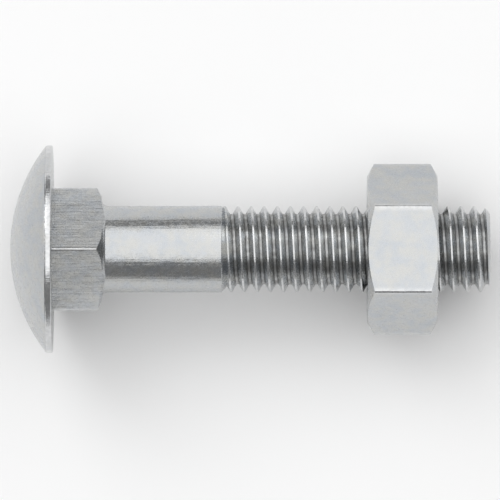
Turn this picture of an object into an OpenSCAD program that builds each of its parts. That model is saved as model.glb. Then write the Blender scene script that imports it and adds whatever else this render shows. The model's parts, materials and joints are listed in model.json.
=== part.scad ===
// Carriage bolt, M10 x 50, with its hex nut run partway up the thread.
// Both pieces are drawn along +Z, with z = 0 on the bearing face under the head and the thread
// going up, and lie_down() then lays the pair on the ground as it would come to rest.

/* [Head] */
// Diameter of the domed head
head_d = 23.75; // [21:0.25:24.5]
// Height of the head above its bearing face
head_h = 4.85; // [4:0.05:5.5]
// Height of the straight rim under the dome
rim_h = 0.7; // [0.5:0.05:1.2]
// Radius of the rounded edges of the rim
rim_round = 0.15; // [0.1:0.05:0.2]

/* [Square neck] */
// Width of the neck across its flats
neck_w = 10; // [10:0.1:10.6]
// Diameter that the neck's corners are turned to
neck_corner_d = 14; // [13:0.1:14]
// Length of the neck, with the bevel at its end
neck_l = 6.2; // [5:0.1:7]
// Length of the straight bevel that closes the corners
bevel_l = 0.5; // [0.3:0.05:0.8]
// Radius of the hollow that leads the bevel into the shank
neck_fillet_r = 0.6; // [0.3:0.05:0.8]

/* [Shank and thread] */
// Length of the bolt under its head
bolt_l = 50; // [45:1:60]
// Diameter of the plain shank, and of the thread over its crests
shank_d = 9.9; // [9.7:0.05:9.95]
// Length of the thread
thread_l = 29.8; // [26:0.2:32]
// Pitch of the thread
pitch = 1.5; // [1.25:0.25:1.5]
// Length in which the thread fades into the shank
run_out_l = 0.9; // [0.6:0.1:1.5]
// Length of the chamfer at the free end
end_chamfer_l = 0.75; // [0.5:0.05:1]
// Diameter of the flat face at the free end
end_face_d = 8.2; // [7.5:0.1:8.6]

/* [Nut] */
// Width of the nut across its flats
nut_w = 17; // [16:0.5:17]
// Height of the nut
nut_h = 8; // [7:0.1:8.4]
// Distance from the bearing face of the head to the nut
nut_at = 36; // [30:0.5:40]
// Diameter of the round that the corner chamfers leave on each end of the nut
nut_face_d = 16.8; // [15.5:0.1:16.9]
// Angle of the corner chamfers to the end of the nut
nut_chamfer_deg = 30; // [20:1:30]
// Diameter of the countersinks at the ends of the nut's thread
countersink_d = 10.8; // [10.4:0.1:11.2]
// Gap around the bolt's crests in the nut
thread_gap = 0.05; // [0.03:0.01:0.1]

/* [Hidden] */

$fn = 96;

head_r = head_d / 2;
shank_r = shank_d / 2;
neck_corner_r = neck_corner_d / 2;
end_face_r = end_face_d / 2;
thread_from = bolt_l - thread_l;

// How far pieces of one solid run into each other, so that they fuse
lap = 1;
// How far a surface that ends inside another one stays under it
tuck = 0.03;
// Steps of a small rounded edge
round_steps = 4;

// The dome is a sphere through the rim's upper edge and the top of the head
dome_rise = head_h - rim_h;
dome_r = (head_r ^ 2 + dome_rise ^ 2) / (2 * dome_rise);
dome_centre_z = dome_r - head_h;

// The bevel falls at this slope, two out for one along, and ends in the hollow
bevel_slope = 2;
hollow_from_z = neck_l - neck_fillet_r;
bevel_from_z = hollow_from_z - bevel_l;
bevel_end_r = neck_corner_r - bevel_slope * bevel_l;
// The hollow's arc stops short of a quarter turn, and so meets the shank at an angle
hollow_deg = 75;

// Metric thread form: flat crests, 60 degree flanks and a root that is nearly as narrow
crest_w = pitch / 8;
thread_depth = 0.6134 * pitch;
flank_w = thread_depth * tan(30);
crest_r = shank_r - tuck;
root_r = shank_r - thread_depth;
// Steps of one turn of the helix
turn_steps = 24;

nut_flat_r = nut_w / 2;
nut_corner_r = nut_flat_r / cos(30);
nut_face_r = nut_face_d / 2;
nut_bore_r = shank_r + thread_gap;
countersink_r = countersink_d / 2;

// Lying down, the bolt touches the ground with the lower edge of the head's rim and with the far
// end of one flat of the nut, where the chamfer leaves it. The tilt sets both at one height.
nut_touch_z = nut_at + nut_h - (nut_flat_r - nut_face_r) * tan(nut_chamfer_deg);
drop = head_r - rim_round - nut_flat_r;
reach = nut_touch_z + rim_round;
lie_deg = acos(-rim_round / norm([drop, reach])) - atan2(reach, drop);
axis_height = nut_flat_r * cos(lie_deg) + nut_touch_z * sin(lie_deg);
back_x = dome_centre_z * cos(lie_deg) - dome_r;
front_x = bolt_l * cos(lie_deg) + end_face_r * sin(lie_deg);

// Lays what is drawn along +Z on the ground, head towards -X, centred over the origin
module lie_down() {
    translate([-(back_x + front_x) / 2, 0, axis_height])
        rotate([0, 90 + lie_deg, 0])
            children();
}

// Points of an arc around a centre, from one angle to another
function arc(centre, r, from_deg, to_deg) = [
    for (i = [0:round_steps])
        let (a = from_deg + (to_deg - from_deg) * i / round_steps)
            centre + r * [cos(a), sin(a)]
];

// Domed head with a narrow rim
module head() {
    rotate_extrude()
        intersection() {
            translate([0, dome_centre_z])
                circle(r = dome_r);
            polygon(concat(
                [[0, -head_h - lap]],
                [[head_r, -head_h - lap]],
                arc([head_r - rim_round, -rim_round], rim_round, 0, 90),
                [[0, 0]]
            ));
        }
}

// Square neck with turned corners, bevelled towards the shank
module neck() {
    hollow_r = bevel_end_r - shank_r;
    intersection() {
        translate([0, 0, -lap])
            rotate([0, 0, 45])
                linear_extrude(neck_l + 2 * lap)
                    square(neck_w, center = true);
        rotate_extrude()
            polygon(concat(
                [[0, -lap], [neck_corner_r, -lap], [neck_corner_r, bevel_from_z]],
                [
                    for (i = [0:round_steps])
                        let (a = hollow_deg * i / round_steps)
                            [
                                bevel_end_r - hollow_r * sin(a),
                                hollow_from_z + neck_fillet_r * (1 - cos(a))
                            ]
                ],
                [[shank_r - tuck, neck_l], [0, neck_l]]
            ));
    }
}

// Plain shank, with the cone in which the thread fades out and a core inside its first turns
module shank() {
    rotate_extrude()
        polygon([
            [0, -lap],
            [shank_r, -lap],
            [shank_r, thread_from - run_out_l],
            [root_r, thread_from],
            [root_r - tuck, thread_from + lap],
            [0, thread_from + lap]
        ]);
}

// Threaded rod around the axis: the thread's section swept along a right-hand helix, one corner
// after another, with each turn joined to the next
module threaded_rod(from_z, turns) {
    corners = [
        [root_r, 0],
        [crest_r, flank_w],
        [crest_r, flank_w + crest_w],
        [root_r, 2 * flank_w + crest_w]
    ];
    n = len(corners);
    last = turns * turn_steps;
    // A section's last corner is the first one of the section a turn further on
    function id(step, corner) = corner < n ? step * n + corner : (step + turn_steps) * n;
    points = [
        for (step = [0:last + turn_steps], c = corners)
            let (a = 360 * step / turn_steps)
                [c[0] * cos(a), c[0] * sin(a), from_z + c[1] + pitch * step / turn_steps]
    ];
    foot = len(points);
    tip = foot + 1;
    ends = [[0, 0, from_z], [0, 0, from_z + pitch * (turns + 1)]];
    sides = [
        for (step = [0:last - 1], c = [0:n - 1], half = [0, 1])
            half == 0
                ? [id(step, c), id(step, c + 1), id(step + 1, c + 1)]
                : [id(step, c), id(step + 1, c + 1), id(step + 1, c)]
    ];
    foot_loop = concat(
        [for (step = [0:turn_steps]) id(step, 0)],
        [for (c = [n - 1:-1:1]) id(0, c)]
    );
    tip_loop = [for (p = foot_loop) p + last * n];
    foot_fan = [
        for (i = [0:len(foot_loop) - 1])
            [foot, foot_loop[i], foot_loop[(i + 1) % len(foot_loop)]]
    ];
    tip_fan = [
        for (i = [0:len(tip_loop) - 1])
            [tip, tip_loop[(i + 1) % len(tip_loop)], tip_loop[i]]
    ];
    polyhedron(points = concat(points, ends), faces = concat(sides, foot_fan, tip_fan));
}

// Thread, trimmed to the chamfered end of the bolt
module thread() {
    start_z = thread_from - 1.5 * pitch;
    chamfer_slope = (shank_r - end_face_r) / end_chamfer_l;
    intersection() {
        threaded_rod(start_z - 1.5 * pitch, ceil((bolt_l - start_z) / pitch) + 3);
        rotate_extrude()
            polygon([
                [0, start_z],
                [shank_r + lap, start_z],
                [shank_r + lap, bolt_l - end_chamfer_l - lap / chamfer_slope],
                [end_face_r, bolt_l],
                [0, bolt_l]
            ]);
    }
}

// The bolt, forged and rolled from one bar
module bolt() {
    color("silver")
        lie_down()
            union() {
                head();
                neck();
                shank();
                thread();
            }
}

// Hexagon with its corners chamfered at both ends, bored to run over the bolt's crests
module hex_nut() {
    chamfer_run = 1;
    chamfer_r = nut_corner_r + chamfer_run;
    chamfer_l = (chamfer_r - nut_face_r) * tan(nut_chamfer_deg);
    sink_l = countersink_r - nut_bore_r;
    color("silver")
        lie_down()
            translate([0, 0, nut_at])
                difference() {
                    intersection() {
                        rotate([0, 0, 30])
                            linear_extrude(nut_h)
                                circle(r = nut_corner_r, $fn = 6);
                        rotate_extrude()
                            polygon([
                                [0, 0],
                                [nut_face_r, 0],
                                [chamfer_r, chamfer_l],
                                [chamfer_r, nut_h - chamfer_l],
                                [nut_face_r, nut_h],
                                [0, nut_h]
                            ]);
                    }
                    rotate_extrude()
                        polygon([
                            [0, -lap],
                            [countersink_r + lap, -lap],
                            [nut_bore_r, sink_l],
                            [nut_bore_r, nut_h - sink_l],
                            [countersink_r + lap, nut_h + lap],
                            [0, nut_h + lap]
                        ]);
                }
}

bolt();
hex_nut();
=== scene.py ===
"""A carriage bolt with its hex nut, lying on a white table under soft studio light.

Each piece is modelled upright in millimetres, along +Z from the bearing face under the head, and
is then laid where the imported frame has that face.
"""

import json
import logging
import math
from dataclasses import dataclass
from enum import Enum

import bpy
from mathutils import Matrix, Vector


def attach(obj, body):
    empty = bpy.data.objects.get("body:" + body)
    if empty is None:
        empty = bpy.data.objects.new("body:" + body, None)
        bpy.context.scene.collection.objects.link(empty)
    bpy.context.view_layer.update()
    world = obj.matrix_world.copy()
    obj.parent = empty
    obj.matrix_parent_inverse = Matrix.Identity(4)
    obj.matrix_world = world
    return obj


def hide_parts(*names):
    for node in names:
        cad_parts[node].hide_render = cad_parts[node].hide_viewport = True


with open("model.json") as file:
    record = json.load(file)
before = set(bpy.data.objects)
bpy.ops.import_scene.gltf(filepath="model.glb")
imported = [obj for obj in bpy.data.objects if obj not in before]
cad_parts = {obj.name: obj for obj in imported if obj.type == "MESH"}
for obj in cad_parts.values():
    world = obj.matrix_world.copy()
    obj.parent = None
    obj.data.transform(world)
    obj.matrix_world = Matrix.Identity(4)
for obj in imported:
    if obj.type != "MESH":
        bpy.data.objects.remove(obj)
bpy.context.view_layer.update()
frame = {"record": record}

log = logging.getLogger("carriage_bolt")

MM = 0.001
FULL_TURN = 2 * math.pi
FLANK_DEG = 30.0
IMAGE_PX = 500
MERGE_MM = 0.0005
SMOOTH_DEG = 28.0
ARC_STEPS = 4
DOME_STEPS = 24
ROUND_STEPS = 128
NOISE_LOW = 0.32
NOISE_HIGH = 0.68


class Cut(Enum):
    """How one solid changes another."""

    ADD = "UNION"
    REMOVE = "DIFFERENCE"
    KEEP = "INTERSECT"


# Shop tools: each starts from a primitive and works on it in edit mode, in millimetres


def deselect_all() -> None:
    """Deselect every object, the frame's own ones too."""
    if bpy.context.object is not None and bpy.context.object.mode != "OBJECT":
        bpy.ops.object.mode_set(mode="OBJECT")
    bpy.ops.object.select_all(action="DESELECT")


def make_active(piece: bpy.types.Object) -> None:
    """Select one object alone and make it the active one.

    Args:
        piece: The object to work on.
    """
    deselect_all()
    piece.select_set(True)
    bpy.context.view_layer.objects.active = piece


def added(name: str) -> bpy.types.Object:
    """Name the primitive that was just added.

    Args:
        name: The name for the object and its mesh.

    Returns:
        The new object.
    """
    piece = bpy.context.object
    piece.name = name
    piece.data.name = name
    return piece


def apply_modifier(piece: bpy.types.Object, name: str) -> None:
    """Apply one modifier to its mesh.

    Args:
        piece: The object that has the modifier.
        name: The modifier's name.
    """
    make_active(piece)
    bpy.ops.object.modifier_apply(modifier=name)


def trace(name: str, outline: list[Vector]) -> bpy.types.Object:
    """Draw a line through points by extruding one vertex from each to the next.

    Args:
        name: The name for the object.
        outline: The points, each in millimetres.

    Returns:
        An object of edges only.
    """
    deselect_all()
    bpy.ops.mesh.primitive_plane_add(size=1.0)
    line = added(name)
    bpy.ops.object.mode_set(mode="EDIT")
    bpy.ops.mesh.select_all(action="SELECT")
    bpy.ops.mesh.merge(type="CENTER")
    bpy.ops.transform.translate(value=outline[0])
    for here, there in zip(outline, outline[1:]):
        bpy.ops.mesh.extrude_vertices_move(TRANSFORM_OT_translate={"value": there - here})
    bpy.ops.object.mode_set(mode="OBJECT")
    return line


def close_and_orient(piece: bpy.types.Object) -> None:
    """Merge the doubles of a solid and turn its faces outwards. The solid stays active.

    Args:
        piece: The solid.
    """
    make_active(piece)
    bpy.ops.object.mode_set(mode="EDIT")
    bpy.ops.mesh.select_all(action="SELECT")
    bpy.ops.mesh.remove_doubles(threshold=MERGE_MM)
    bpy.ops.mesh.normals_make_consistent(inside=False)
    bpy.ops.object.mode_set(mode="OBJECT")


def turned(name: str, outline: list[Vector], steps: int) -> bpy.types.Object:
    """Turn an outline round the Z axis, as on a lathe.

    Args:
        name: The name for the object.
        outline: Points in the XZ plane that start and end on the axis.
        steps: How many faces go round the axis.

    Returns:
        The closed solid.
    """
    solid = trace(name, outline)
    bpy.ops.object.mode_set(mode="EDIT")
    bpy.ops.mesh.select_all(action="SELECT")
    bpy.ops.mesh.spin(steps=steps, angle=FULL_TURN, center=(0, 0, 0), axis=(0, 0, 1))
    bpy.ops.object.mode_set(mode="OBJECT")
    close_and_orient(solid)
    return solid


def combine(piece: bpy.types.Object, tool: bpy.types.Object, cut: Cut) -> None:
    """Cut one solid with another and throw the tool away.

    Args:
        piece: The solid that changes.
        tool: The solid that it is cut with.
        cut: What is done with the tool's space.
    """
    modifier = piece.modifiers.new("cut", "BOOLEAN")
    modifier.operation = cut.value
    modifier.solver = "EXACT"
    modifier.object = tool
    apply_modifier(piece, modifier.name)
    bpy.data.objects.remove(tool)


def round_upright_edges(block: bpy.types.Object, radius: float, steps: int) -> None:
    """Round the edges of a block that run along Z.

    Args:
        block: The block, whose upright edges go from end to end.
        radius: How far from the edge the rounding starts.
        steps: How many faces each rounding has.
    """
    make_active(block)
    bpy.ops.object.mode_set(mode="EDIT")
    bpy.ops.mesh.select_mode(type="EDGE")
    bpy.ops.mesh.select_all(action="DESELECT")
    bpy.ops.object.mode_set(mode="OBJECT")
    for edge in block.data.edges:
        low, high = (block.data.vertices[i].co for i in edge.vertices)
        edge.select = abs(high.z - low.z) > MERGE_MM
    bpy.ops.object.mode_set(mode="EDIT")
    bpy.ops.mesh.bevel(offset=radius, segments=steps, affect="EDGES")
    bpy.ops.mesh.select_mode(type="VERT")
    bpy.ops.object.mode_set(mode="OBJECT")


def at(r: float, z: float) -> Vector:
    """A point of an outline, at a radius and a height."""
    return Vector((r, 0.0, z))


def arc(centre: Vector, radius: float, from_deg: float, to_deg: float, steps: int) -> list[Vector]:
    """Points of an arc in the XZ plane.

    Args:
        centre: The arc's centre.
        radius: Its radius.
        from_deg: The angle of the first point, from +X towards +Z.
        to_deg: The angle of the last point.
        steps: How many chords the arc has.

    Returns:
        One point more than there are chords.
    """
    turn = math.radians(to_deg - from_deg) / steps
    start = math.radians(from_deg)
    return [
        centre + radius * at(math.cos(start + turn * i), math.sin(start + turn * i))
        for i in range(steps + 1)
    ]


@dataclass(frozen=True)
class ThreadForm:
    """The section of a metric thread, which both the bolt and the nut take.

    Args:
        pitch: Travel of one turn.
        phase: Height at which a root's middle stands over +X.
        steps: Faces round the axis.
    """

    pitch: float = 1.5
    phase: float = 15.575
    steps: int = 96

    def outline(self, root_r: float, crest_r: float, crest_w: float, crest_round: float,
                root_round: float) -> list[Vector]:
        """One pitch of the section, from the middle of a root to the middle of the next.

        Args:
            root_r: Radius of the bottom of the groove.
            crest_r: Radius of the top of the ridge.
            crest_w: Width of the ridge's top before it is rounded.
            crest_round: Radius of the ridge's edges.
            root_round: Radius of the groove's edges.

        Returns:
            Points from low to high.
        """
        middle = self.pitch / 2
        flank_run = (crest_r - root_r) * math.tan(math.radians(FLANK_DEG))
        top_corner = middle - crest_w / 2
        foot_corner = top_corner - flank_run
        lean = 90.0 - FLANK_DEG
        set_back = math.tan(math.radians(lean / 2))
        foot = arc(at(root_r + root_round, foot_corner - set_back * root_round), root_round,
                   180.0, 180.0 - lean, ARC_STEPS)
        top = arc(at(crest_r - crest_round, top_corner + set_back * crest_round), crest_round,
                  -lean, 0.0, ARC_STEPS)
        half = [at(root_r, 0.0)] + foot + top
        return half + [at(p.x, self.pitch - p.z) for p in reversed(half)]

    def rod(self, name: str, outline: list[Vector], low: float, high: float) -> bpy.types.Object:
        """Sweep the section along the helix into a closed rod.

        Args:
            name: The name for the object.
            outline: The section of one pitch.
            low: Height that the rod has to reach down to.
            high: Height that it has to reach up to.

        Returns:
            The closed rod, which is over a pitch longer at both ends.
        """
        below = math.ceil((self.phase - low) / self.pitch) + 1
        turns = math.ceil((high - low) / self.pitch) + 3
        start = self.phase - below * self.pitch
        shift = at(0.0, start)
        rod = trace(name, [p + shift for p in outline])
        screw = rod.modifiers.new("helix", "SCREW")
        screw.axis = "Z"
        screw.angle = FULL_TURN
        screw.screw_offset = self.pitch
        screw.iterations = turns
        screw.steps = self.steps
        screw.render_steps = self.steps
        screw.use_merge_vertices = False
        apply_modifier(rod, screw.name)
        self.cap(rod, start, start + (turns + 1) * self.pitch)
        close_and_orient(rod)
        return rod

    def cap(self, rod: bpy.types.Object, low: float, high: float) -> None:
        """Close both ends of a swept rod with a fan to the axis.

        Args:
            rod: The open rod.
            low: Height of its foot on the axis.
            high: Height of its tip on the axis.
        """
        middle = (low + high) / 2
        cursor = bpy.context.scene.cursor
        make_active(rod)
        bpy.ops.object.mode_set(mode="EDIT")
        bpy.ops.mesh.select_all(action="SELECT")
        bpy.ops.mesh.remove_doubles(threshold=MERGE_MM)
        for height, upper in ((low, False), (high, True)):
            bpy.ops.mesh.select_all(action="DESELECT")
            bpy.ops.mesh.select_non_manifold()
            bpy.ops.object.mode_set(mode="OBJECT")
            corners = rod.data.vertices
            for edge in rod.data.edges:
                here = [(corners[i].co.z > middle) == upper for i in edge.vertices]
                edge.select = edge.select and all(here)
            for corner in corners:
                corner.select = corner.select and (corner.co.z > middle) == upper
            bpy.ops.object.mode_set(mode="EDIT")
            bpy.ops.mesh.extrude_region_move()
            cursor.location = at(0.0, height)
            bpy.ops.mesh.merge(type="CURSOR")
        bpy.ops.object.mode_set(mode="OBJECT")
        cursor.location = at(0.0, 0.0)


@dataclass(frozen=True)
class LyingFrame:
    """Where the bolt lies, from the mount under its head.

    Args:
        origin: Middle of the bearing face, in metres.
        along: Direction of the bolt's axis, towards its free end.
    """

    origin: Vector
    along: Vector

    @classmethod
    def from_record(cls, record: dict) -> "LyingFrame":
        """Read the bearing face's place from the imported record.

        Args:
            record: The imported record.

        Returns:
            The frame that pieces are laid in.
        """
        mount = next(m for m in record["mounts"] if m["name"] == "head_bearing")
        return cls(Vector(mount["pos_m"]), Vector(mount["axis"]).normalized())

    def matrix(self) -> Matrix:
        """The move from an upright piece in millimetres to its place in metres."""
        side = Vector((0.0, 1.0, 0.0))
        turn = Matrix((side.cross(self.along), side, self.along)).transposed().to_4x4()
        return Matrix.Translation(self.origin) @ turn @ Matrix.Scale(MM, 4)

    def lay(self, piece: bpy.types.Object) -> None:
        """Lay an upright piece in its place, with the place in its mesh.

        Args:
            piece: The finished piece.
        """
        make_active(piece)
        piece.matrix_world = self.matrix() @ piece.matrix_world
        bpy.ops.object.transform_apply(location=True, rotation=True, scale=True)


@dataclass(frozen=True)
class Zone:
    """A ring of the piece, between two heights, where the finish changes with the radius.

    Args:
        low: Height where the ring starts, in millimetres.
        high: Height where it ends.
        bare_r: Radius at which nothing has changed yet.
        full_r: Radius at which the change is full.
    """

    low: float
    high: float
    bare_r: float
    full_r: float


class NodeBench:
    """A material's node tree, with short calls for the nodes that the finishes use."""

    def __init__(self, name: str) -> None:
        """Start a material with its shader.

        Args:
            name: The material's name.
        """
        self.material = bpy.data.materials.new(name)
        self.material.use_nodes = True
        self.tree = self.material.node_tree
        self.shader = self.tree.nodes["Principled BSDF"]

    def node(self, kind: str, settings: dict, sockets: dict) -> bpy.types.Node:
        """Add a node.

        Args:
            kind: The node's type.
            settings: Its properties.
            sockets: Values for its inputs, or outputs to link to them.

        Returns:
            The node.
        """
        made = self.tree.nodes.new(kind)
        for key, value in settings.items():
            setattr(made, key, value)
        for key, value in sockets.items():
            if isinstance(value, bpy.types.NodeSocket):
                self.tree.links.new(value, made.inputs[key])
            else:
                made.inputs[key].default_value = value
        return made

    def drive(self, socket: str, source: bpy.types.NodeSocket) -> None:
        """Link an output to an input of the shader."""
        self.tree.links.new(source, self.shader.inputs[socket])

    def noise(self, where: bpy.types.NodeSocket, scale: float, detail: float,
              low: float = 0.0, high: float = 1.0) -> bpy.types.NodeSocket:
        """Add a noise whose middle values are spread over a range.

        Args:
            where: The coordinates that it reads.
            scale: Its scale.
            detail: How many finer layers it has.
            low: The lowest value that comes out.
            high: The highest value that comes out.

        Returns:
            The value.
        """
        raw = self.node("ShaderNodeTexNoise", {}, {"Vector": where, "Scale": scale,
                                                   "Detail": detail})
        return self.spread(raw.outputs["Fac"], NOISE_LOW, NOISE_HIGH, low, high)

    def spread(self, value: bpy.types.NodeSocket, from_low: float, from_high: float,
               low: float, high: float) -> bpy.types.NodeSocket:
        """Map a value from one range to another, clamped and with soft ends.

        Args:
            value: The value.
            from_low: Where the range starts.
            from_high: Where it ends.
            low: What comes out at the start.
            high: What comes out at the end.

        Returns:
            The mapped value.
        """
        made = self.node("ShaderNodeMapRange", {"interpolation_type": "SMOOTHSTEP"}, {
            "Value": value, "From Min": from_low, "From Max": from_high, "To Min": low,
            "To Max": high})
        return made.outputs["Result"]

    def math(self, operation: str, a: bpy.types.NodeSocket | float,
             b: bpy.types.NodeSocket | float) -> bpy.types.NodeSocket:
        """Add a math node.

        Args:
            operation: What it does.
            a: Its first value.
            b: Its second value.

        Returns:
            The result.
        """
        made = self.node("ShaderNodeMath", {"operation": operation}, {})
        for socket, value in zip(made.inputs, (a, b)):
            if isinstance(value, bpy.types.NodeSocket):
                self.tree.links.new(value, socket)
            else:
                socket.default_value = value
        return made.outputs["Value"]

    def mix(self, factor: bpy.types.NodeSocket, a: bpy.types.NodeSocket | tuple,
            b: bpy.types.NodeSocket | tuple) -> bpy.types.NodeSocket:
        """Mix two colours.

        Args:
            factor: How much of the second colour comes out.
            a: The first colour.
            b: The second colour.

        Returns:
            The mixed colour.
        """
        made = self.tree.nodes.new("ShaderNodeMix")
        made.data_type = "RGBA"
        self.tree.links.new(factor, made.inputs["Factor"])
        ends = [socket for socket in made.inputs if socket.type == "RGBA"]
        for socket, value in zip(ends, (a, b)):
            if isinstance(value, bpy.types.NodeSocket):
                self.tree.links.new(value, socket)
            else:
                socket.default_value = (*value, 1.0)
        return next(s for s in made.outputs if s.type == "RGBA")


@dataclass(frozen=True)
class ZincPlate:
    """Bright zinc plate over cold formed steel.

    The plate is faintly cloudy, blue in places and straw in others. Edges and crests are brighter
    from wear, and that brighter colour is also a painted highlight; the grooves are rougher and
    take a painted shade.

    Args:
        name: The material's name.
        lying: Where the bolt lies, which turns the patterns along its axis.
        plate: Colour of the clear plate.
        blue: Colour of its bluish clouds.
        straw: Colour of its yellowish clouds.
        wear_and_highlight: Colour where edges and crests wear, which is also a painted highlight.
        painted_groove_shade: Darker colour in the grooves, a painted shade.
        roughness: The lowest and highest roughness of the clear plate.
        wear_and_highlight_zones: Where the wear and the painted highlight go.
        painted_shade_zones: Where the shade is painted.
        grain_m: Height of the fine grain, in metres.
        drawn_m: Depth of the lines that forming leaves along the axis.
        dent_m: Depth of the wide shallow unevenness.
        turned_m: Depth of the rings that a lathe leaves on end faces and chamfers.
        clouds_per_mm: Scale of the bluish clouds, and so on for each pattern below.
        drawn_stretch: How much finer the drawn lines are across the axis than along it.
        rubbed_gloss: How much the roughness falls where the plate wears.
        dull_gloss: How much it rises in the grooves.
        faced_from: Share of the axis in a normal at which the rings start to show.
        faced_full: Share at which they show fully.
    """

    name: str
    lying: LyingFrame
    plate: tuple[float, float, float] = (0.50, 0.515, 0.53)
    blue: tuple[float, float, float] = (0.455, 0.478, 0.505)
    straw: tuple[float, float, float] = (0.53, 0.525, 0.50)
    # Brighter colour where edges and crests wear, which is also a painted highlight.
    wear_and_highlight: tuple[float, float, float] = (0.66, 0.665, 0.67)
    # Painted shade: darker colour painted into the thread's grooves.
    painted_groove_shade: tuple[float, float, float] = (0.24, 0.24, 0.235)
    roughness: tuple[float, float] = (0.20, 0.29)
    wear_and_highlight_zones: tuple[Zone, ...] = ()
    painted_shade_zones: tuple[Zone, ...] = ()
    grain_m: float = 0.0000035
    drawn_m: float = 0.000005
    dent_m: float = 0.000014
    turned_m: float = 0.000005
    clouds_per_mm: float = 0.28
    streaks_per_mm: float = 0.75
    speckle_per_mm: float = 2.6
    patches_per_mm: float = 1.4
    dents_per_mm: float = 0.5
    drawn_per_mm: float = 4.5
    drawn_stretch: float = 0.045
    turned_per_mm: float = 5.5
    grain_per_mm: float = 5.0
    rubbed_gloss: float = 0.07
    dull_gloss: float = 0.18
    faced_from: float = 0.72
    faced_full: float = 0.88

    def build(self) -> bpy.types.Material:
        """Make the node tree.

        Returns:
            The material.
        """
        bench = NodeBench(self.name)
        bench.shader.inputs["Metallic"].default_value = 1.0
        where = self.upright(bench)
        radius, height = self.round_place(bench, where)
        clouds = bench.noise(where, self.clouds_per_mm, 4.0)
        streaks = bench.noise(where, self.streaks_per_mm, 5.0, 0.0, 0.7)
        colour = bench.mix(clouds, self.plate, self.blue)
        colour = bench.mix(streaks, colour, self.straw)
        speckle = bench.noise(where, self.speckle_per_mm, 4.0)
        gloss = bench.spread(speckle, 0.0, 1.0, *self.roughness)
        # Patches that break up both the wear, with its painted highlight, and the painted shade in
        # the grooves.
        patches = bench.noise(where, self.patches_per_mm, 5.0, 0.35, 1.0)
        # Wear on crests, corners and the rim: lighter colour, which is also a painted highlight,
        # and lower roughness.
        wear_and_highlight = self.amount(bench, self.wear_and_highlight_zones, radius, height)
        if wear_and_highlight is not None:
            wear_and_highlight = bench.math("MULTIPLY", wear_and_highlight, patches)
            colour = bench.mix(wear_and_highlight, colour, self.wear_and_highlight)
            smoother = bench.math("MULTIPLY", wear_and_highlight, self.rubbed_gloss)
            gloss = bench.math("SUBTRACT", gloss, smoother)
        # Painted shade: the grooves' colour is darkened, and their roughness rises.
        painted_groove_shade = self.amount(bench, self.painted_shade_zones, radius, height)
        if painted_groove_shade is not None:
            painted_groove_shade = bench.math("MULTIPLY", painted_groove_shade, patches)
            colour = bench.mix(painted_groove_shade, colour, self.painted_groove_shade)
            gloss = bench.math("ADD", gloss, bench.math("MULTIPLY", painted_groove_shade, self.dull_gloss))
        bench.drive("Base Color", colour)
        bench.drive("Roughness", gloss)
        bench.drive("Normal", self.relief(bench, where, radius, height))
        return bench.material

    def upright(self, bench: NodeBench) -> bpy.types.NodeSocket:
        """Turn Object coordinates back to the upright bolt, in millimetres.

        Args:
            bench: The material's nodes.

        Returns:
            The coordinates.
        """
        back = self.lying.matrix().inverted()
        place = bench.node("ShaderNodeTexCoord", {}, {})
        turned_back = bench.node("ShaderNodeMapping", {"vector_type": "POINT"}, {
            "Vector": place.outputs["Object"],
            "Location": back.to_translation(),
            "Rotation": back.to_euler(),
            "Scale": back.to_scale(),
        })
        return turned_back.outputs["Vector"]

    def round_place(self, bench: NodeBench, where: bpy.types.NodeSocket
                    ) -> tuple[bpy.types.NodeSocket, bpy.types.NodeSocket]:
        """Split a place into its distance from the axis and its height.

        Args:
            bench: The material's nodes.
            where: The coordinates on the upright bolt.

        Returns:
            The radius and the height, in millimetres.
        """
        parts = bench.node("ShaderNodeSeparateXYZ", {}, {"Vector": where})
        flat = bench.node("ShaderNodeCombineXYZ", {}, {"X": parts.outputs["X"],
                                                       "Y": parts.outputs["Y"]})
        radius = bench.node("ShaderNodeVectorMath", {"operation": "LENGTH"}, {})
        bench.tree.links.new(flat.outputs["Vector"], radius.inputs[0])
        return radius.outputs["Value"], parts.outputs["Z"]

    def amount(self, bench: NodeBench, zones: tuple[Zone, ...], radius: bpy.types.NodeSocket,
               height: bpy.types.NodeSocket) -> bpy.types.NodeSocket | None:
        """Add up how far a place lies in any of the zones.

        Args:
            bench: The material's nodes.
            zones: The zones.
            radius: Distance from the axis.
            height: Height along the axis.

        Returns:
            A value from 0 to 1, or None where there are no zones.
        """
        total = None
        for zone in zones:
            across = bench.spread(radius, zone.bare_r, zone.full_r, 0.0, 1.0)
            if zone.bare_r > zone.full_r:
                across = bench.spread(radius, zone.full_r, zone.bare_r, 1.0, 0.0)
            above = bench.math("GREATER_THAN", height, zone.low)
            below = bench.math("LESS_THAN", height, zone.high)
            inside = bench.math("MULTIPLY", bench.math("MULTIPLY", above, below), across)
            total = inside if total is None else bench.math("MAXIMUM", total, inside)
        return total

    def faced(self, bench: NodeBench, height: bpy.types.NodeSocket) -> bpy.types.NodeSocket:
        """Find the end faces and chamfers above the head, which a lathe has faced.

        Args:
            bench: The material's nodes.
            height: Height along the axis.

        Returns:
            1 where the surface lies across the axis, 0 along it and on the dome.
        """
        place = bench.node("ShaderNodeTexCoord", {}, {})
        across = bench.node("ShaderNodeVectorMath", {"operation": "DOT_PRODUCT"}, {})
        bench.tree.links.new(place.outputs["Normal"], across.inputs[0])
        across.inputs[1].default_value = self.lying.along
        size = bench.math("ABSOLUTE", across.outputs["Value"], 0.0)
        square = bench.spread(size, self.faced_from, self.faced_full, 0.0, 1.0)
        return bench.math("MULTIPLY", square, bench.math("GREATER_THAN", height, -0.05))

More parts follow.
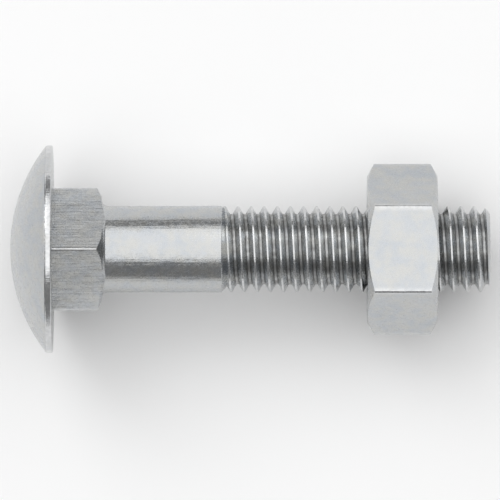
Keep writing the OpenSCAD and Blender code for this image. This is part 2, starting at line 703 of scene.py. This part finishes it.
    def relief(self, bench: NodeBench, where: bpy.types.NodeSocket,
               radius: bpy.types.NodeSocket, height: bpy.types.NodeSocket
               ) -> bpy.types.NodeSocket:
        """The fine relief: shallow dents, lines along the axis, turned rings and grain.

        Args:
            bench: The material's nodes.
            where: The coordinates on the upright bolt.
            radius: Distance from the axis.
            height: Height along the axis.

        Returns:
            The bumped normal.
        """
        along = bench.node("ShaderNodeMapping", {}, {
            "Vector": where, "Scale": (1.0, 1.0, self.drawn_stretch)})
        rings = bench.node("ShaderNodeCombineXYZ", {}, {"X": radius})
        faced = self.faced(bench, height)
        formed = bench.math("SUBTRACT", 1.0, faced)
        layers = (
            (bench.noise(where, self.dents_per_mm, 2.0), self.dent_m, formed),
            (bench.noise(along.outputs["Vector"], self.drawn_per_mm, 3.0), self.drawn_m, formed),
            (bench.noise(rings.outputs["Vector"], self.turned_per_mm, 3.0), self.turned_m, faced),
            (bench.noise(where, self.grain_per_mm, 3.0), self.grain_m, 1.0),
        )
        normal = None
        for level, depth, share in layers:
            sockets = {"Height": level, "Distance": depth, "Strength": share}
            if normal is not None:
                sockets["Normal"] = normal
            normal = bench.node("ShaderNodeBump", {}, sockets).outputs["Normal"]
        return normal


@dataclass
class CarriageBolt:
    """The bolt: domed head, square neck, plain shank and rolled thread, in one piece.

    Args:
        lying: Where the bolt lies.
        thread: The thread's section and pitch.
    """

    lying: LyingFrame
    thread: ThreadForm
    head_r: float = 11.875
    head_h: float = 4.85
    rim_h: float = 0.7
    rim_round: float = 0.15
    rim_lean_deg: float = 40.0
    neck_w: float = 10.0
    neck_corner_r: float = 7.0
    neck_round: float = 0.17
    neck_l: float = 6.2
    bevel_l: float = 0.5
    bevel_run: float = 1.0
    hollow_r: float = 0.6
    hollow_deg: float = 75.0
    shank_r: float = 4.95
    length: float = 50.0
    thread_from: float = 20.2
    run_out: float = 0.9
    thread_depth: float = 0.92
    crest_round: float = 0.05
    root_round: float = 0.12
    end_face_r: float = 4.1
    end_chamfer_l: float = 0.75
    round_steps: int = ROUND_STEPS
    tuck: float = 0.03
    lap: float = 1.0

    @property
    def root_r(self) -> float:
        """Radius at the bottom of the thread."""
        return self.shank_r - self.thread_depth

    @property
    def crest_r(self) -> float:
        """Radius over the thread's crests."""
        return self.shank_r - self.tuck

    def build(self) -> bpy.types.Object:
        """Model the bolt, lay it down and give it its finish.

        Returns:
            The finished piece.
        """
        bolt = turned("carriage_bolt", self.turned_outline(), self.round_steps)
        combine(bolt, self.neck(), Cut.ADD)
        combine(bolt, self.threaded_end(), Cut.ADD)
        close_and_orient(bolt)
        bpy.ops.object.shade_smooth_by_angle(angle=math.radians(SMOOTH_DEG))
        self.lying.lay(bolt)
        bolt.data.materials.append(self.finish().build())
        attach(bolt, "bolt")
        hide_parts("bolt")
        return bolt

    def finish(self) -> ZincPlate:
        """The zinc, brighter from wear on the crests, the neck's corners and the rim, with a
        painted highlight there, and with painted shade darkening the thread's grooves.

        Returns:
            The finish.
        """
        return ZincPlate(
            "zinc_on_bolt",
            self.lying,
            # Wear, also a painted highlight: thread crests, the neck's corners and the head's rim.
            wear_and_highlight_zones=(
                Zone(self.thread_from, self.length, self.crest_r - 0.18, self.crest_r),
                Zone(0.1, self.neck_l, self.neck_corner_r - 0.25, self.neck_corner_r),
                Zone(-self.rim_h, 0.0, self.head_r - 0.2, self.head_r),
            ),
            # Painted shade darkens the thread's roots.
            painted_shade_zones=(
                Zone(self.thread_from, self.length - 0.2, self.root_r + 0.45, self.root_r),
            ),
        )

    def turned_outline(self) -> list[Vector]:
        """The outline of all that is round: dome, rim, shank, and the core under the thread.

        Returns:
            Points from the top of the dome to the axis inside the thread.
        """
        rise = self.head_h - self.rim_h
        dome_r = (self.head_r ** 2 + rise ** 2) / (2 * rise)
        half_deg = math.degrees(math.asin((self.head_r - self.rim_round / 2) / dome_r))
        dome = arc(at(0.0, dome_r - self.head_h), dome_r, -90.0, -90.0 + half_deg, DOME_STEPS)
        edge = self.head_r - self.rim_round
        rim_top = arc(at(edge, -self.rim_h + self.rim_round), self.rim_round, -self.rim_lean_deg,
                      0.0, ARC_STEPS)
        rim_foot = arc(at(edge, -self.rim_round), self.rim_round, 0.0, 90.0, 2 * ARC_STEPS - 2)
        shank = [
            at(self.shank_r, 0.0),
            at(self.shank_r, self.thread_from - self.run_out),
            at(self.root_r, self.thread_from),
            at(self.root_r - self.tuck, self.thread_from + self.lap),
            at(0.0, self.thread_from + self.lap),
        ]
        return dome + rim_top + rim_foot + shank

    def neck(self) -> bpy.types.Object:
        """The square neck: a block whose corners and end are turned.

        Returns:
            The neck as a solid of its own.
        """
        deselect_all()
        bpy.ops.mesh.primitive_cube_add(size=1.0)
        neck = added("neck")
        tall = self.neck_l + 2 * self.lap
        neck.scale = (self.neck_w, self.neck_w, tall)
        neck.location = (0.0, 0.0, tall / 2 - self.lap)
        neck.rotation_euler = (0.0, 0.0, math.radians(45.0))
        bpy.ops.object.transform_apply(location=True, rotation=True, scale=True)
        round_upright_edges(neck, self.neck_round, ARC_STEPS)
        bevel_end = self.neck_corner_r - self.bevel_run
        hollow_from = self.neck_l - self.hollow_r
        turns = [math.radians(self.hollow_deg) * i / (2 * ARC_STEPS)
                 for i in range(2 * ARC_STEPS + 1)]
        hollow = [
            at(bevel_end - (bevel_end - self.shank_r) * math.sin(turn),
               hollow_from + self.hollow_r * (1.0 - math.cos(turn)))
            for turn in turns
        ]
        outline = [
            at(0.0, -self.lap / 2),
            at(self.neck_corner_r, -self.lap / 2),
            at(self.neck_corner_r, hollow_from - self.bevel_l),
            *hollow,
            at(self.shank_r - self.tuck, self.neck_l),
            at(0.0, self.neck_l),
        ]
        combine(neck, turned("neck_turning", outline, self.round_steps), Cut.KEEP)
        return neck

    def threaded_end(self) -> bpy.types.Object:
        """The thread, trimmed to the chamfered end.

        Returns:
            The thread as a solid of its own.
        """
        low = self.thread_from - 1.5 * self.thread.pitch
        section = self.thread.outline(self.root_r, self.crest_r, self.thread.pitch / 8,
                                      self.crest_round, self.root_round)
        rod = self.thread.rod("thread", section, low, self.length)
        slope = (self.shank_r - self.end_face_r) / self.end_chamfer_l
        outline = [
            at(0.0, low),
            at(self.shank_r + self.lap, low),
            at(self.shank_r + self.lap, self.length - self.end_chamfer_l - self.lap / slope),
            at(self.end_face_r, self.length),
            at(0.0, self.length),
        ]
        combine(rod, turned("end_turning", outline, self.round_steps), Cut.KEEP)
        return rod


@dataclass
class HexNut:
    """The nut: a chamfered hexagon with a countersunk thread.

    Args:
        lying: Where the bolt lies.
        thread: The thread's section and pitch.
    """

    lying: LyingFrame
    thread: ThreadForm
    width: float = 17.0
    height: float = 8.0
    place: float = 36.0
    face_r: float = 8.4
    chamfer_deg: float = 30.0
    corner_round: float = 0.2
    bore_r: float = 4.19
    groove_r: float = 5.03
    sink_r: float = 5.4
    flank_gap: float = 0.05
    tap_under: float = 0.15
    tap_crest_round: float = 0.04
    tap_root_round: float = 0.02
    round_steps: int = ROUND_STEPS
    lap: float = 1.0

    def build(self) -> bpy.types.Object:
        """Model the nut, lay it down and give it its finish.

        Returns:
            The finished piece.
        """
        nut = self.hexagon()
        combine(nut, turned("nut_turning", self.turned_outline(), self.round_steps), Cut.KEEP)
        combine(nut, turned("nut_bore", self.bore_outline(), self.round_steps), Cut.REMOVE)
        combine(nut, self.tap(), Cut.REMOVE)
        close_and_orient(nut)
        bpy.ops.object.shade_smooth_by_angle(angle=math.radians(SMOOTH_DEG))
        self.lying.lay(nut)
        nut.data.materials.append(self.finish().build())
        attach(nut, "nut")
        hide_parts("hex_nut")
        return nut

    def finish(self) -> ZincPlate:
        """The zinc, brighter from wear on the nut's corners, with a painted highlight there, and
        with painted shade darkening its thread.

        Returns:
            The finish.
        """
        top = self.place + self.height
        return ZincPlate(
            "zinc_on_nut",
            self.lying,
            # Wear, also a painted highlight, on the nut's corners.
            wear_and_highlight_zones=(Zone(self.place, top, self.corner_r - 0.35, self.corner_r),),
            # Painted shade darkens the nut's whole thread.
            painted_shade_zones=(Zone(self.place + 0.3, top - 0.3, self.groove_r + 0.3, self.groove_r),),
        )

    @property
    def corner_r(self) -> float:
        """Distance from the axis to the nut's corners."""
        return self.width / 2 / math.cos(math.radians(30.0))

    def hexagon(self) -> bpy.types.Object:
        """The hexagonal blank, with its upright corners rounded.

        Returns:
            The blank.
        """
        deselect_all()
        bpy.ops.mesh.primitive_cylinder_add(vertices=6, radius=self.corner_r, depth=self.height)
        nut = added("hex_nut_dressed")
        nut.location = (0.0, 0.0, self.place + self.height / 2)
        bpy.ops.object.transform_apply(location=True, rotation=True, scale=True)
        round_upright_edges(nut, self.corner_round, 3)
        return nut

    def turned_outline(self) -> list[Vector]:
        """The outline that chamfers the hexagon's corners at both ends.

        Returns:
            Points from the axis at one end to the axis at the other.
        """
        low, high = self.place, self.place + self.height
        middle = (low + high) / 2
        reach = self.face_r + (middle - low) / math.tan(math.radians(self.chamfer_deg))
        return [
            at(0.0, low),
            at(self.face_r, low),
            at(reach, middle),
            at(self.face_r, high),
            at(0.0, high),
        ]

    def bore_outline(self) -> list[Vector]:
        """The outline of the hole before it is tapped, with its countersinks.

        Returns:
            Points from the axis under the nut to the axis above it.
        """
        low, high = self.place, self.place + self.height
        sink = self.sink_r - self.bore_r
        return [
            at(0.0, low - self.lap),
            at(self.sink_r + self.lap, low - self.lap),
            at(self.bore_r, low + sink),
            at(self.bore_r, high - sink),
            at(self.sink_r + self.lap, high + self.lap),
            at(0.0, high + self.lap),
        ]

    def tap(self) -> bpy.types.Object:
        """The threaded rod that cuts the nut's thread.

        Returns:
            The rod, a little larger than the bolt's thread all over.
        """
        section = self.thread.outline(
            self.bore_r - self.tap_under, self.groove_r, self.thread.pitch / 8 + self.flank_gap,
            self.tap_crest_round, self.tap_root_round)
        return self.thread.rod("tap", section, self.place, self.place + self.height)


@dataclass(frozen=True)
class Table:
    """The white table top under the bolt.

    Args:
        size_m: Length of its sides.
        colour: Its colour.
    """

    size_m: float = 6.0
    colour: tuple[float, float, float] = (0.95, 0.95, 0.95)

    def build(self) -> bpy.types.Object:
        """Add the table top as part of the stage.

        Returns:
            The table top.
        """
        deselect_all()
        bpy.ops.mesh.primitive_plane_add(size=self.size_m)
        top = added("table_top")
        material = bpy.data.materials.new("white_table")
        material.use_nodes = True
        shader = material.node_tree.nodes["Principled BSDF"]
        shader.inputs["Base Color"].default_value = (*self.colour, 1.0)
        shader.inputs["Roughness"].default_value = 0.9
        shader.inputs["Specular IOR Level"].default_value = 0.1
        top.data.materials.append(material)
        return top


@dataclass(frozen=True)
class SoftBox:
    """One rectangular studio light.

    Args:
        name: The light's name.
        place_m: Where it stands.
        size_m: Its width and height.
        radiance: How bright its face is, where 1 is white.
    """

    name: str
    place_m: tuple[float, float, float]
    size_m: tuple[float, float]
    radiance: float

    def build(self, target: Vector) -> bpy.types.Object:
        """Add the light and turn it to the bolt.

        Args:
            target: The point that it shines at.

        Returns:
            The light.
        """
        deselect_all()
        bpy.ops.object.light_add(type="AREA", location=self.place_m)
        lamp = bpy.context.object
        lamp.name = self.name
        lamp.data.shape = "RECTANGLE"
        lamp.data.size, lamp.data.size_y = self.size_m
        lamp.data.energy = self.radiance * math.pi * self.size_m[0] * self.size_m[1]
        aim = target - Vector(self.place_m)
        lamp.rotation_euler = aim.to_track_quat("-Z", "Y").to_euler()
        lamp.visible_camera = False
        return lamp


@dataclass(frozen=True)
class Studio:
    """Lights, world and camera.

    Args:
        lying: Where the bolt lies.
        px_per_mm: Scale of the picture at the bolt's axis.
        bearing_px: Column of the head's bearing face.
        axis_px: Row of the bolt's axis.
        distance_m: How far the camera is from the axis.
        world_grey: Brightness of the room above the table.
        strip_grey: Brightness of the pale strip along the horizon.
        strip_from: Height at which the strip starts to fade, on a sphere of radius 1.
        strip_to: Height at which it has faded.
        boxes: The studio's lights.
    """

    lying: LyingFrame
    px_per_mm: float = 8.74
    bearing_px: float = 52.6
    axis_px: float = 249.1
    distance_m: float = 1.2
    world_grey: float = 0.25
    strip_grey: float = 0.92
    strip_from: float = 0.03
    strip_to: float = 0.08
    boxes: tuple[SoftBox, ...] = (
        SoftBox("ceiling_panel", (0.0, 0.45, 1.6), (3.5, 3.5), 1.16),
        SoftBox("key_box", (-0.65, 0.95, 1.2), (0.9, 0.9), 1.9),
    )

    def build(self) -> None:
        """Set up the room, the lights and the camera."""
        self.room()
        for box in self.boxes:
            box.build(self.lying.origin)
        self.camera()
        bpy.context.scene.view_settings.view_transform = "Standard"

    def room(self) -> bpy.types.World:
        """Make the room: grey, with a pale strip along the table's horizon.

        Returns:
            The world.
        """
        world = bpy.data.worlds.new("room")
        bpy.context.scene.world = world
        world.use_nodes = True
        nodes, links = world.node_tree.nodes, world.node_tree.links
        direction = nodes.new("ShaderNodeTexCoord")
        parts = nodes.new("ShaderNodeSeparateXYZ")
        level = nodes.new("ShaderNodeMapRange")
        level.interpolation_type = "SMOOTHSTEP"
        level.inputs["From Min"].default_value = self.strip_from
        level.inputs["From Max"].default_value = self.strip_to
        level.inputs["To Min"].default_value = self.strip_grey
        level.inputs["To Max"].default_value = self.world_grey
        links.new(direction.outputs["Generated"], parts.inputs["Vector"])
        links.new(parts.outputs["Z"], level.inputs["Value"])
        links.new(level.outputs["Result"], nodes["Background"].inputs["Color"])
        return world

    def camera(self) -> bpy.types.Object:
        """Add the camera, which looks down square to the bolt's axis.

        Returns:
            The camera.
        """
        side = Vector((0.0, 1.0, 0.0))
        up = -side.cross(self.lying.along)
        middle_px = IMAGE_PX / 2
        target = (
            self.lying.origin
            + self.lying.along * ((middle_px - self.bearing_px) / self.px_per_mm * MM)
            - side * ((middle_px - self.axis_px) / self.px_per_mm * MM)
        )
        deselect_all()
        bpy.ops.object.camera_add()
        camera = bpy.context.object
        camera.name = "camera"
        turn = Matrix((self.lying.along, side, up)).transposed().to_4x4()
        camera.matrix_world = Matrix.Translation(target + up * self.distance_m) @ turn
        width_m = IMAGE_PX / self.px_per_mm * MM
        camera.data.lens = camera.data.sensor_width * self.distance_m / width_m
        bpy.context.scene.camera = camera
        return camera


def report(piece: bpy.types.Object) -> None:
    """Log a piece's size.

    Args:
        piece: The finished piece.
    """
    faces = len(piece.data.polygons)
    size = ", ".join(f"{side / MM:.2f}" for side in piece.dimensions)
    log.info("%s: %d faces, %s mm", piece.name, faces, size)


def main() -> None:
    """Build the bolt, the nut and the studio."""
    logging.basicConfig(level=logging.INFO, format="%(name)s: %(message)s")
    lying = LyingFrame.from_record(frame["record"])
    thread = ThreadForm()
    report(CarriageBolt(lying, thread).build())
    report(HexNut(lying, thread).build())
    Table().build()
    Studio(lying).build()


if __name__ == "__main__":
    main()
